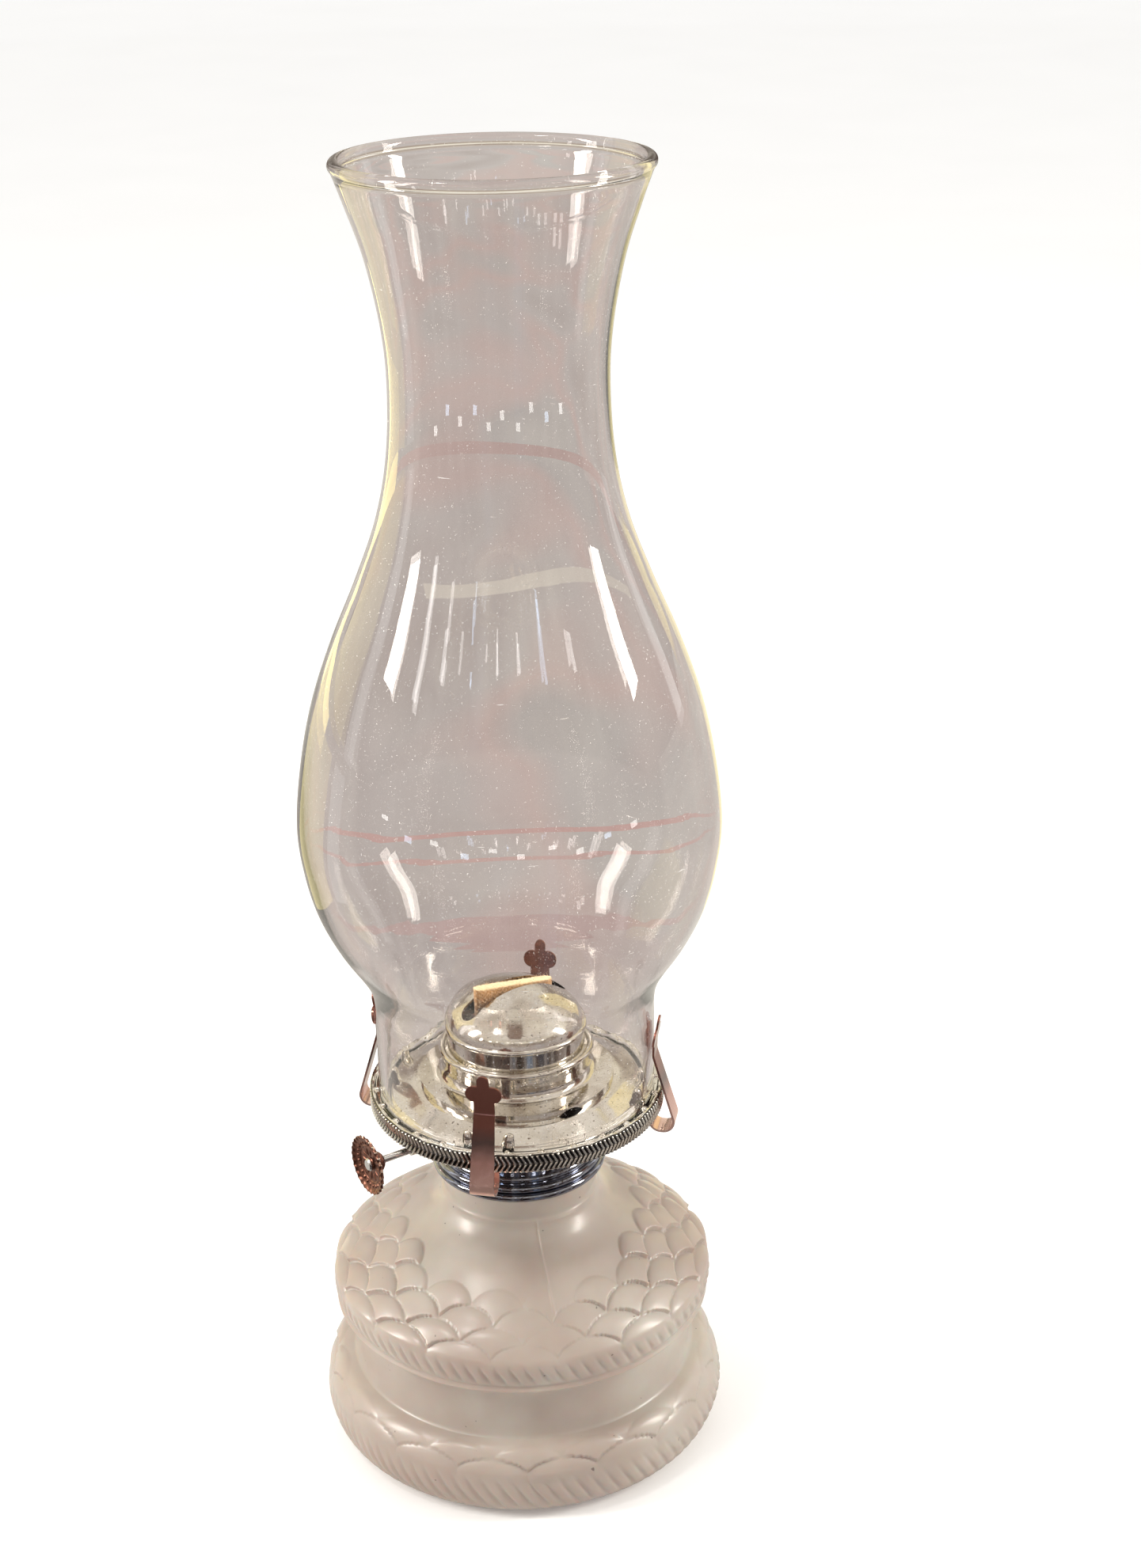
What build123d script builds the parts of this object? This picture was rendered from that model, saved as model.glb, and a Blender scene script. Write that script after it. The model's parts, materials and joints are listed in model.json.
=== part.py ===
"""Flat-wick kerosene table lamp: glass base, screw-in burner, wick raiser, spring prongs and chimney.

Frame: millimetres, +Z up, origin at the centre of the foot's resting ring. The knob points along -X,
the wick's wide side lies along X, and the four prongs stand on the diagonals.

A knot of a round profile is (radius, height, lean of the wall from upright in degrees, outward positive).
"""

import math
import os

from build123d import *

os.makedirs("parts", exist_ok=True)

# ---------------------------------------------------------------- driving dimensions
LAMP_HEIGHT = 356.0
SHEET = 0.6

# glass base
FLOOR_WALL = 3.0
FOOT_REST_R = 51.5
FOOT_REST_LEAN = 72
FOOT_KNOTS = [(57.0, 9.0, 0), (54.0, 18.4, -38), (48.6, 22.0, -76)]
WAIST_KNOTS = [(48.6, 22.0, -26), (47.6, 30.0, 0), (48.6, 38.2, 20)]
RIDGE_R = 52.7
RIDGE_Z = (40.1, 41.3)
SHOULDER_KNOTS = [(52.7, 41.3, 20), (53.5, 45.6, 0), (50.4, 51.4, -46), (44.0, 56.4, -55), (33.0, 63.8, -57)]
NECK_KNOT = (21.4, 74.0, -8)
NECK_FLARE_R = 22.4
FINISH_R = 19.6
FINISH_Z = 80.9
NECK_TOP_Z = 87.0
NECK_BORE_R = 17.3
RECESS_R = 46.5
RECESS_DEPTH = 2.0
HOLLOW = [
    (45.2, RECESS_DEPTH + FLOOR_WALL),
    (44.6, 30.0),
    (46.2, 38.4),
    (49.6, 41.6),
    (50.6, 45.6),
    (47.8, 50.2),
    (41.4, 54.8),
    (30.2, 62.0),
    (18.4, 72.0),
    (NECK_BORE_R, 76.0),
]

# collar and its cement
COLLAR_R = 24.2
COLLAR_BEAD_R = 1.15
COLLAR_RINGS = [(0.0, 1.15), (0.8, 3.3), (2.0, 5.6)]
COLLAR_SHOULDER_R = 20.0
COLLAR_TOP_Z = 89.6
COLLAR_WALL = 0.8
CHAMBER_R = (21.6, 19.7)
THREAD_R = 16.0
THREAD_PITCH = 2.1
THREAD_TURNS = 4

# burner sheet metal
SHELL_R = 15.9
SHELL_FLANGE_R = 18.3
PAN_Z = 90.6
PAN_HOLE_R = 14.6
PAN_FLOOR_R = 20.6
PAN_CONE_R = 36.6
PAN_FLANGE_R = 39.3
PAN_FLANGE_Z = 100.6
PAN_LIP = 3.0
AIR_HOLE_R = 1.2
AIR_HOLE_ROWS = [(25.0, 30), (29.0, 34)]
CLOSING_PLATE_R = 18.0
DIFFUSER_HOLE_R = 0.8
DIFFUSER_ROWS = [(17.2, 28), (20.4, 34), (23.6, 40)]
VENT_PLACE = (7.0, 6.0)
VENT_R = 1.8
VENT_WALL = 0.5
VENT_LENGTH = 16.0

# gallery
DECK_INNER_R = 26.2
DECK_INNER_Z = 108.4
DECK_OUTER_R = 34.6
DECK_OUTER_Z = 106.4
CHANNEL_R = (35.2, 39.0)
CHANNEL_Z = 105.8
RIM_R = 40.3
RIM_WALL = 0.8
RIM_TOP_Z = 106.2
RIM_LOW_Z = 101.0
RIB_COUNT = 27
RIB_R = 39.15
RIB_SIZE = (1.8, 0.7)
RIB_TOP_Z = 106.7
LUG_R = 33.6
LUG_OFFSET = 5.6
LUG_SIZE = (1.0, 3.6)
LUG_HEIGHT = 3.8

# deflector dome
FLARE_R = 26.8
FLARE_Z = 110.4
BAND_2_R = 20.0
BAND_2_Z = 113.4
BEAD_2_R = 21.1
BEAD_2_Z = 118.4
BAND_1_R = 18.7
BEAD_1_R = 19.5
BEAD_1_Z = 125.2
BEAD_SIZE = 0.9
DOME_KNOT = (11.4, 133.4, -62)
DOME_TOP_Z = 135.9
SLOT_LENGTH = 33.0
SLOT_WIDTH = 5.6
SLOT_LOW_Z = 126.8
NOTCH_R = 5.2
NOTCH_HEIGHT = 1.6

# wick and its raiser
WICK_WIDTH = 25.4
WICK_THICK = 3.0
WICK_TAIL_Z = 18.0
WICK_TOP_Z = (138.0, 134.4)
TUBE_Z = (84.0, 129.5)
TUBE_GAP = 0.35
SHAFT_Y = -5.4
SHAFT_Z = 99.2
SHAFT_R = 1.0
BEARING_GAP = 0.05
BUSH_R = 1.6
BUSH_X = (-37.8, -28.4)
HOUSING_X = 12.4
HOUSING_BACK_Y = -10.6
HOUSING_Z = (93.4, 104.6)
WHEEL_X = (-9.0, -3.0, 3.0, 9.0)
WHEEL_THICK = 1.0
WHEEL_TEETH = 14
WHEEL_TIP_GAP = 0.2
TOOTH_DEPTH = 1.1
TOOTH_BASE = 1.1
KNOB_X = -49.5
KNOB_R = 8.0
KNOB_SCALLOPS = 28
SCALLOP_R = 0.6
HUB_R = 2.6
HUB_LENGTH = 2.4

# prongs
PRONG_ANGLES = (45, 135, 225, 315)
PRONG_THICK = 0.6
PRONG_WIDE = 6.9
PRONG_NARROW = 5.4
PRONG_FOOT = (33.6, 104.6)
PRONG_DOWN_R = 37.6
PRONG_OUT_R = 45.4
PRONG_LOW_Z = 95.2
PRONG_TOUCH = (38.65, 118.0)
PRONG_NECK = (38.75, 121.5)
PRONG_TIP = (40.0, 129.4)
PRONG_BENDS = [1.4, 3.2, 3.0, 4.0, 4.0]
LOBE_WIDTH = 9.8
LOBE_R = 2.5
LOBE_Z = 123.6
HEAD_WIDTH = 3.2

# chimney
CHIMNEY_WALL = 2.0
CHIMNEY_FITTER_Z = 130.0
CHIMNEY_KNOTS = [
    (38.0, 130.0, 0),
    (45.9, 151.0, 29),
    (55.8, 186.4, 0),
    (44.9, 235.1, -22),
    (35.0, 259.3, -20.5),
    (27.5, 301.5, 0),
    (37.8, 350.6, 24),
]
LIP_R = 1.5


def finish_piece(part, name):
    """Label one piece and write it to its own STEP file."""
    part.label = name
    export_step(part, f"parts/{name}.step")


def arc_between(start, start_lean, end, end_lean):
    """Two smooth arcs from start to end that leave and arrive at the given leans."""
    start = Vector(*start)
    end = Vector(*end)
    start_way = Vector(math.sin(math.radians(start_lean)), math.cos(math.radians(start_lean)))
    end_way = Vector(math.sin(math.radians(end_lean)), math.cos(math.radians(end_lean)))
    chord = end - start
    square = chord.dot(chord)
    reach = 2 * chord.dot(start_way + end_way)
    bend = 2 * (1 - start_way.dot(end_way))
    share = 2 * square / (reach + math.sqrt(reach**2 + 4 * bend * square))
    middle = (start + end + (start_way - end_way) * share) / 2
    first = TangentArc(start, middle, tangent=start_way)
    return TangentArc(middle, end, tangent=first % 1)


def arc_run(knots, inset=0.0, drop=0.0):
    """Smooth arcs through the knots of a round profile, moved in by inset and down by drop."""
    arc = None
    for (r0, z0, lean0), (r1, z1, lean1) in zip(knots, knots[1:]):
        arc = arc_between((r0 - inset, z0 - drop), lean0, (r1 - inset, z1 - drop), lean1)
    return arc


# ---------------------------------------------------------------- glass base
with BuildPart() as font:
    with BuildSketch(Plane.XZ):
        with BuildLine():
            arc_run([(FOOT_REST_R, 0, FOOT_REST_LEAN), *FOOT_KNOTS])
            waist = arc_run(WAIST_KNOTS)
            Polyline(waist @ 1, (RIDGE_R, RIDGE_Z[0]), (RIDGE_R, RIDGE_Z[1]))
            arc_run([*SHOULDER_KNOTS, NECK_KNOT])
            Polyline(
                (NECK_KNOT[0], NECK_KNOT[1]),
                (NECK_FLARE_R, FINISH_Z),
                (FINISH_R, FINISH_Z),
                (FINISH_R, NECK_TOP_Z),
                (0, NECK_TOP_Z),
                (0, 0),
                (FOOT_REST_R, 0),
            )
        make_face()
    revolve(axis=Axis.Z)
    with BuildSketch(Plane.XZ):
        Polygon(
            (0, RECESS_DEPTH + FLOOR_WALL),
            *HOLLOW,
            (NECK_BORE_R, NECK_TOP_Z + 1),
            (0, NECK_TOP_Z + 1),
            align=None,
        )
    revolve(axis=Axis.Z, mode=Mode.SUBTRACT)
    with BuildSketch(Plane.XY):
        Circle(RECESS_R)
    extrude(amount=RECESS_DEPTH, taper=30, mode=Mode.SUBTRACT)
finish_piece(font.part, "font")

# ---------------------------------------------------------------- collar and its cement
SLEEVE_R = THREAD_R + COLLAR_WALL
CHAMBER_TOP_Z = COLLAR_TOP_Z - COLLAR_WALL
RING_R = COLLAR_R - COLLAR_BEAD_R


def cement_chamber():
    """The space under the collar's top that the cement fills round the neck of the glass."""
    Polygon(
        (SLEEVE_R, FINISH_Z),
        (CHAMBER_R[0], FINISH_Z),
        (CHAMBER_R[1], CHAMBER_TOP_Z),
        (SLEEVE_R, CHAMBER_TOP_Z),
        align=None,
    )


with BuildPart() as collar:
    with BuildSketch(Plane.XZ):
        Polygon(
            (THREAD_R, FINISH_Z),
            (RING_R, FINISH_Z),
            (RING_R - COLLAR_RINGS[1][0], FINISH_Z + COLLAR_RINGS[1][1]),
            (RING_R - COLLAR_RINGS[2][0], COLLAR_TOP_Z - 0.9),
            (COLLAR_SHOULDER_R, COLLAR_TOP_Z),
            (THREAD_R, COLLAR_TOP_Z),
            align=None,
        )
        with Locations(*[(RING_R - inward, FINISH_Z + up) for inward, up in COLLAR_RINGS]):
            Circle(COLLAR_BEAD_R)
    revolve(axis=Axis.Z)
    with BuildSketch(Plane.XZ):
        cement_chamber()
    revolve(axis=Axis.Z, mode=Mode.SUBTRACT)
finish_piece(collar.part, "collar")

with BuildPart() as cement:
    with BuildSketch(Plane.XZ):
        cement_chamber()
        with Locations(((SLEEVE_R + FINISH_R) / 2, (FINISH_Z + NECK_TOP_Z) / 2)):
            Rectangle(FINISH_R - SLEEVE_R, NECK_TOP_Z - FINISH_Z, mode=Mode.SUBTRACT)
    revolve(axis=Axis.Z)
finish_piece(cement.part, "collar_cement")

# ---------------------------------------------------------------- burner: shell, pan and plates
SHELL_CORE_R = SHELL_R - SHEET
SHELL_BORE_R = SHELL_R - 2 * SHEET
RING_HEIGHTS = [FINISH_Z + THREAD_PITCH * (turn + 0.5) for turn in range(THREAD_TURNS)]

with BuildPart() as shell:
    with BuildSketch(Plane.XZ):
        Polygon(
            (SHELL_BORE_R, FINISH_Z),
            (SHELL_CORE_R, FINISH_Z),
            (SHELL_CORE_R, PAN_Z - 2 * SHEET),
            (SHELL_R, PAN_Z - SHEET),
            (SHELL_FLANGE_R, PAN_Z - SHEET),
            (SHELL_FLANGE_R, PAN_Z - 0.1),
            (SHELL_BORE_R, PAN_Z - 0.1),
            align=None,
        )
        with Locations(*[(SHELL_CORE_R, height) for height in RING_HEIGHTS]):
            Circle(SHEET * 0.9)
    revolve(axis=Axis.Z)
finish_piece(shell.part, "burner_thread_shell")

TUBE_X = WICK_WIDTH / 2 + TUBE_GAP
TUBE_Y = WICK_THICK / 2 + TUBE_GAP
SHAFT_PLANE = Plane(origin=(0, SHAFT_Y, SHAFT_Z), x_dir=(0, 1, 0), z_dir=(1, 0, 0))

with BuildPart() as pan:
    with BuildSketch(Plane.XZ):
        Polygon(
            (PAN_HOLE_R, PAN_Z),
            (PAN_FLOOR_R, PAN_Z),
            (PAN_CONE_R, PAN_FLANGE_Z),
            (PAN_FLANGE_R, PAN_FLANGE_Z),
            (PAN_FLANGE_R, PAN_FLANGE_Z + PAN_LIP),
            (PAN_FLANGE_R - SHEET, PAN_FLANGE_Z + PAN_LIP),
            (PAN_FLANGE_R - SHEET, PAN_FLANGE_Z + SHEET),
            (PAN_CONE_R - 0.3, PAN_FLANGE_Z + SHEET),
            (PAN_FLOOR_R - 0.3, PAN_Z + SHEET),
            (PAN_HOLE_R, PAN_Z + SHEET),
            align=None,
        )
    revolve(axis=Axis.Z)
    for row_r, count in AIR_HOLE_ROWS:
        with BuildSketch(Plane.XY.offset(PAN_Z)):
            with PolarLocations(row_r, count, start_angle=180 / count):
                Circle(AIR_HOLE_R)
        extrude(amount=PAN_FLANGE_Z - PAN_Z, mode=Mode.SUBTRACT)
    with BuildSketch(Plane.XY.offset(PAN_FLANGE_Z - 3)):
        with PolarLocations(PRONG_DOWN_R, len(PRONG_ANGLES), start_angle=PRONG_ANGLES[0]):
            Rectangle(2.6, PRONG_WIDE + 0.8)
    extrude(amount=5, mode=Mode.SUBTRACT)
    with BuildSketch(SHAFT_PLANE.offset(BUSH_X[0])):
        Circle(BUSH_R)
    extrude(amount=BUSH_X[1] - BUSH_X[0], mode=Mode.SUBTRACT)
finish_piece(pan.part, "burner_pan")

with BuildPart() as closing_plate:
    with BuildSketch(Plane.XY.offset(PAN_Z + SHEET)):
        Circle(CLOSING_PLATE_R)
        Rectangle(2 * (TUBE_X + SHEET), 2 * (TUBE_Y + SHEET), mode=Mode.SUBTRACT)
        with Locations(VENT_PLACE):
            Circle(VENT_R, mode=Mode.SUBTRACT)
    extrude(amount=SHEET)
finish_piece(closing_plate.part, "closing_plate")

with BuildPart() as diffuser:
    with BuildSketch(Plane.XY.offset(DECK_INNER_Z - SHEET)):
        Circle(DECK_INNER_R)
        Rectangle(2 * (TUBE_X + SHEET), 2 * (TUBE_Y + SHEET), mode=Mode.SUBTRACT)
        for ring_r, count in DIFFUSER_ROWS:
            with PolarLocations(ring_r, count):
                Circle(DIFFUSER_HOLE_R, mode=Mode.SUBTRACT)
    extrude(amount=SHEET)
finish_piece(diffuser.part, "air_diffuser")

with BuildPart() as vent_tube:
    with BuildSketch(Plane.XY.offset(PAN_Z - 3)):
        with Locations(VENT_PLACE):
            Circle(VENT_R)
            Circle(VENT_R - VENT_WALL, mode=Mode.SUBTRACT)
    extrude(amount=VENT_LENGTH)
finish_piece(vent_tube.part, "vent_tube")

# ---------------------------------------------------------------- burner: wick tube and wheel housing
with BuildPart() as wick_tube:
    with BuildSketch(Plane.XY.offset(TUBE_Z[0])):
        RectangleRounded(2 * (TUBE_X + SHEET), 2 * (TUBE_Y + SHEET), 1.2)
        RectangleRounded(2 * TUBE_X, 2 * TUBE_Y, 0.6, mode=Mode.SUBTRACT)
    extrude(amount=TUBE_Z[1] - TUBE_Z[0])
    with BuildSketch(Plane.XZ.offset(TUBE_Y - 0.5)):
        with Locations(*[(x, SHAFT_Z) for x in WHEEL_X]):
            Rectangle(WHEEL_THICK + 0.8, 6.4)
    extrude(amount=SHEET + 1.0, mode=Mode.SUBTRACT)
finish_piece(wick_tube.part, "wick_tube")

HOUSING_FRONT_Y = -(TUBE_Y + SHEET)
HOUSING_DEPTH = HOUSING_FRONT_Y - HOUSING_BACK_Y
HOUSING_HEIGHT = HOUSING_Z[1] - HOUSING_Z[0]
HOUSING_CENTRE = ((HOUSING_FRONT_Y + HOUSING_BACK_Y) / 2, (HOUSING_Z[0] + HOUSING_Z[1]) / 2)

with BuildPart() as wheel_housing:
    with BuildSketch(Plane.YZ.offset(-HOUSING_X)):
        with Locations(HOUSING_CENTRE):
            Rectangle(HOUSING_DEPTH, HOUSING_HEIGHT)
    extrude(amount=2 * HOUSING_X)
    with BuildSketch(Plane.YZ.offset(-HOUSING_X + SHEET)):
        with Locations((HOUSING_CENTRE[0] + SHEET / 2, HOUSING_CENTRE[1])):
            Rectangle(HOUSING_DEPTH - SHEET, HOUSING_HEIGHT - 2 * SHEET)
    extrude(amount=2 * (HOUSING_X - SHEET), mode=Mode.SUBTRACT)
    with BuildSketch(SHAFT_PLANE.offset(-HOUSING_X - 1)):
        Circle(SHAFT_R + BEARING_GAP)
    extrude(amount=2 * HOUSING_X + 2, mode=Mode.SUBTRACT)
finish_piece(wheel_housing.part, "wheel_housing")

with BuildPart() as bush:
    with BuildSketch(SHAFT_PLANE.offset(BUSH_X[0])):
        Circle(BUSH_R)
        Circle(SHAFT_R + BEARING_GAP, mode=Mode.SUBTRACT)
    extrude(amount=BUSH_X[1] - BUSH_X[0])
finish_piece(bush.part, "shaft_bush")

# ---------------------------------------------------------------- burner: gallery
CHANNEL_UNDER_Z = CHANNEL_Z - SHEET

with BuildPart() as gallery:
    with BuildSketch(Plane.XZ):
        with BuildLine():
            arc_between((DECK_INNER_R, DECK_INNER_Z), 95, (DECK_OUTER_R, DECK_OUTER_Z), 112)
            Polyline(
                (DECK_OUTER_R, DECK_OUTER_Z),
                (CHANNEL_R[0], CHANNEL_Z),
                (CHANNEL_R[1], CHANNEL_Z),
                (CHANNEL_R[1] + 0.3, RIM_TOP_Z),
                (RIM_R - 0.4, RIM_TOP_Z),
                (RIM_R, RIM_TOP_Z - 0.6),
                (RIM_R, RIM_LOW_Z + 0.3),
                (RIM_R - 0.4, RIM_LOW_Z),
                (RIM_R - RIM_WALL, RIM_LOW_Z),
                (RIM_R - RIM_WALL, CHANNEL_UNDER_Z),
                (DECK_OUTER_R, CHANNEL_UNDER_Z),
            )
            arc_between((DECK_OUTER_R, CHANNEL_UNDER_Z), -68, (DECK_INNER_R, DECK_INNER_Z - SHEET), -85)
            Line((DECK_INNER_R, DECK_INNER_Z - SHEET), (DECK_INNER_R, DECK_INNER_Z))
        make_face()
    revolve(axis=Axis.Z)
    with BuildSketch(Plane.XY.offset(CHANNEL_Z)):
        with PolarLocations(RIB_R, RIB_COUNT, start_angle=180 / RIB_COUNT):
            Rectangle(*RIB_SIZE)
    extrude(amount=RIB_TOP_Z - CHANNEL_Z)
    for angle in PRONG_ANGLES:
        with BuildSketch(Plane.XY.rotated((0, 0, angle)).offset(DECK_OUTER_Z - 0.1)):
            with Locations((LUG_R, LUG_OFFSET), (LUG_R, -LUG_OFFSET)):
                Rectangle(*LUG_SIZE)
        extrude(amount=LUG_HEIGHT)
finish_piece(gallery.part, "gallery")


# ---------------------------------------------------------------- burner: deflector dome
def dome_wall(inset):
    """The dome's side, from its skirt on the deck up to the crown, moved in by inset."""
    skirt = Line((FLARE_R - inset, DECK_INNER_Z), (FLARE_R - inset, FLARE_Z - inset))
    flare = arc_between(skirt @ 1, -84, (BAND_2_R - inset, BAND_2_Z - inset), 0)
    Polyline(
        flare @ 1,
        (BAND_2_R - inset, BEAD_2_Z),
        (BAND_1_R - inset, BEAD_2_Z + 0.4),
        (BAND_1_R - inset, BEAD_1_Z),
    )
    crown_start = (DOME_KNOT[0] - 0.5 * inset, DOME_KNOT[1] - 0.9 * inset)
    arc_between((BAND_1_R - inset, BEAD_1_Z), 0, crown_start, DOME_KNOT[2])
    arc_between(crown_start, DOME_KNOT[2], (0, DOME_TOP_Z - inset), -90)


with BuildPart() as deflector:
    with BuildSketch(Plane.XZ):
        with BuildLine():
            dome_wall(0)
            Polyline((0, DOME_TOP_Z), (0, DECK_INNER_Z), (FLARE_R, DECK_INNER_Z))
        make_face()
        with Locations((BEAD_1_R - BEAD_SIZE, BEAD_1_Z), (BEAD_2_R - BEAD_SIZE, BEAD_2_Z)):
            Circle(BEAD_SIZE)
    revolve(axis=Axis.Z)
    with BuildSketch(Plane.XZ):
        with BuildLine():
            dome_wall(SHEET)
            Polyline((0, DOME_TOP_Z - SHEET), (0, DECK_INNER_Z), (FLARE_R - SHEET, DECK_INNER_Z))
        make_face()
    revolve(axis=Axis.Z, mode=Mode.SUBTRACT)
    with BuildSketch(Plane.XY.offset(SLOT_LOW_Z)):
        SlotOverall(SLOT_LENGTH, SLOT_WIDTH)
    extrude(amount=DOME_TOP_Z - SLOT_LOW_Z + 1, mode=Mode.SUBTRACT)
    with BuildSketch(Plane.XZ.offset(BEAD_2_R + 2)):
        with Locations((0, DECK_INNER_Z + NOTCH_HEIGHT - NOTCH_R)):
            Circle(NOTCH_R)
    extrude(amount=FLARE_R - BEAD_2_R, mode=Mode.SUBTRACT)
finish_piece(deflector.part, "deflector")

# ---------------------------------------------------------------- wick
with BuildPart() as wick:
    with BuildSketch(Plane.XZ):
        Polygon(
            (-WICK_WIDTH / 2, WICK_TAIL_Z),
            (WICK_WIDTH / 2, WICK_TAIL_Z),
            (WICK_WIDTH / 2, WICK_TOP_Z[1]),
            (-WICK_WIDTH / 2, WICK_TOP_Z[0]),
            align=None,
        )
    extrude(amount=WICK_THICK / 2, both=True)
    fillet(wick.edges().filter_by(Axis.Z), radius=0.8)
finish_piece(wick.part, "wick")

# ---------------------------------------------------------------- knob, shaft and spur wheels
with BuildPart() as knob_shaft:
    with BuildSketch(SHAFT_PLANE.offset(KNOB_X - 1.2)):
        Circle(SHAFT_R)
    extrude(amount=HOUSING_X + 1.6 - KNOB_X + 1.2)
    with BuildSketch(SHAFT_PLANE.offset(KNOB_X - 1.4)):
        Circle(SHAFT_R + 0.8)
    extrude(amount=0.6)
    chamfer(knob_shaft.edges().filter_by(GeomType.CIRCLE).sort_by(Axis.X)[0], length=0.4)
finish_piece(knob_shaft.part, "knob_shaft")

with BuildPart() as knob:
    with BuildSketch(Plane.XZ.offset(-SHAFT_Y)):
        with BuildLine():
            dish = Spline(
                (KNOB_X - 0.8, SHAFT_Z + SHAFT_R),
                (KNOB_X - 0.6, SHAFT_Z + KNOB_R * 0.55),
                (KNOB_X - 2.0, SHAFT_Z + KNOB_R - 0.3),
                tangents=[(0, 1), (-0.7, 1)],
            )
            edge = Line(dish @ 1, (KNOB_X - 1.2, SHAFT_Z + KNOB_R + 0.2))
            back = Spline(
                edge @ 1,
                (KNOB_X + 0.3, SHAFT_Z + KNOB_R * 0.55),
                (KNOB_X, SHAFT_Z + SHAFT_R),
                tangents=[(0.7, -1), (0, -1)],
            )
            Line(back @ 1, dish @ 0)
        make_face()
    revolve(axis=Axis((0, SHAFT_Y, SHAFT_Z), (1, 0, 0)))
    with BuildSketch(SHAFT_PLANE.offset(KNOB_X - 4)):
        with PolarLocations(KNOB_R + 0.55, KNOB_SCALLOPS):
            Circle(SCALLOP_R)
    extrude(amount=6, mode=Mode.SUBTRACT)
finish_piece(knob.part, "knob")

with BuildPart() as hub:
    with BuildSketch(SHAFT_PLANE.offset(KNOB_X + 0.6)):
        Circle(HUB_R)
        Circle(SHAFT_R, mode=Mode.SUBTRACT)
    extrude(amount=HUB_LENGTH)
    inner_rims = hub.edges().filter_by(GeomType.CIRCLE).sort_by(Axis.X)[-2:]
    chamfer(inner_rims.sort_by(SortBy.RADIUS)[-1], length=0.6)
finish_piece(hub.part, "knob_hub")

WHEEL_TIP_R = -SHAFT_Y - WICK_THICK / 2 - WHEEL_TIP_GAP
WHEEL_ROOT_R = WHEEL_TIP_R - TOOTH_DEPTH
TOOTH_ROOT = 0.2

for number, wheel_x in enumerate(WHEEL_X, start=1):
    with BuildPart() as wheel:
        with BuildSketch(SHAFT_PLANE.offset(wheel_x - WHEEL_THICK / 2)):
            Circle(WHEEL_ROOT_R)
            with PolarLocations(WHEEL_ROOT_R - TOOTH_ROOT, WHEEL_TEETH):
                Polygon(
                    (0, -TOOTH_BASE / 2),
                    (TOOTH_DEPTH + TOOTH_ROOT, 0),
                    (0, TOOTH_BASE / 2),
                    align=None,
                )
            Circle(SHAFT_R, mode=Mode.SUBTRACT)
        extrude(amount=WHEEL_THICK)
    finish_piece(wheel.part, f"spur_wheel_{number}")


# ---------------------------------------------------------------- prongs
HEAD_Z = PRONG_TIP[1] - HEAD_WIDTH / 2


def prong_strip(angle):
    """A bent strip of sheet: foot under the deck, down through the pan, round and up to its finial."""
    with BuildPart() as prong:
        with BuildSketch(Plane.XZ.rotated((0, 0, angle))):
            with BuildLine():
                path = FilletPolyline(
                    PRONG_FOOT,
                    (PRONG_DOWN_R, PRONG_FOOT[1] - 0.2),
                    (PRONG_DOWN_R, PRONG_LOW_Z),
                    (PRONG_OUT_R, PRONG_LOW_Z),
                    PRONG_TOUCH,
                    PRONG_NECK,
                    PRONG_TIP,
                    radius=PRONG_BENDS,
                )
                offset(path, amount=PRONG_THICK / 2, side=Side.BOTH)
            make_face()
        extrude(amount=LOBE_WIDTH / 2, both=True)
        with BuildSketch(Plane.YZ.rotated((0, 0, angle))):
            Polygon(
                (-PRONG_WIDE / 2, PRONG_LOW_Z - 5),
                (-PRONG_NARROW / 2, LOBE_Z),
                (-HEAD_WIDTH / 2, LOBE_Z),
                (-HEAD_WIDTH / 2, HEAD_Z),
                (HEAD_WIDTH / 2, HEAD_Z),
                (HEAD_WIDTH / 2, LOBE_Z),
                (PRONG_NARROW / 2, LOBE_Z),
                (PRONG_WIDE / 2, PRONG_LOW_Z - 5),
                align=None,
            )
            with Locations((-LOBE_WIDTH / 2 + LOBE_R, LOBE_Z), (LOBE_WIDTH / 2 - LOBE_R, LOBE_Z)):
                Circle(LOBE_R)
            with Locations((0, HEAD_Z)):
                Circle(HEAD_WIDTH / 2)
        extrude(amount=60, mode=Mode.INTERSECT)
    return prong.part


for number, angle in enumerate(PRONG_ANGLES, start=1):
    finish_piece(prong_strip(angle), f"prong_{number}")


# ---------------------------------------------------------------- chimney
def chimney_wall(inset):
    """The chimney's side, from its fitter up to the mouth, moved in by inset."""
    Line((CHIMNEY_KNOTS[0][0] - inset, CHANNEL_Z), (CHIMNEY_KNOTS[0][0] - inset, CHIMNEY_FITTER_Z))
    arc_run(CHIMNEY_KNOTS, inset)


MOUTH_R, MOUTH_Z, MOUTH_LEAN = CHIMNEY_KNOTS[-1]
LIP_Z = LAMP_HEIGHT - LIP_R

with BuildPart() as chimney:
    with BuildSketch(Plane.XZ):
        with BuildLine():
            chimney_wall(0)
            chimney_wall(CHIMNEY_WALL)
            Line((CHIMNEY_KNOTS[0][0] - CHIMNEY_WALL, CHANNEL_Z), (CHIMNEY_KNOTS[0][0], CHANNEL_Z))
            Polyline(
                (MOUTH_R, MOUTH_Z),
                (MOUTH_R + 0.6, LIP_Z),
                (MOUTH_R + 1.2 - CHIMNEY_WALL, LIP_Z),
                (MOUTH_R - CHIMNEY_WALL, MOUTH_Z),
            )
        make_face()
        with Locations((MOUTH_R - 0.1, LIP_Z)):
            Circle(LIP_R)
    revolve(axis=Axis.Z)
finish_piece(chimney.part, "chimney")
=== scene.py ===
"""Looks of the table oil lamp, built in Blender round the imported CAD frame. Metres, +Z up."""

import json
import math

import bmesh
import bpy
import numpy as np
from mathutils import Matrix, Vector


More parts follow.
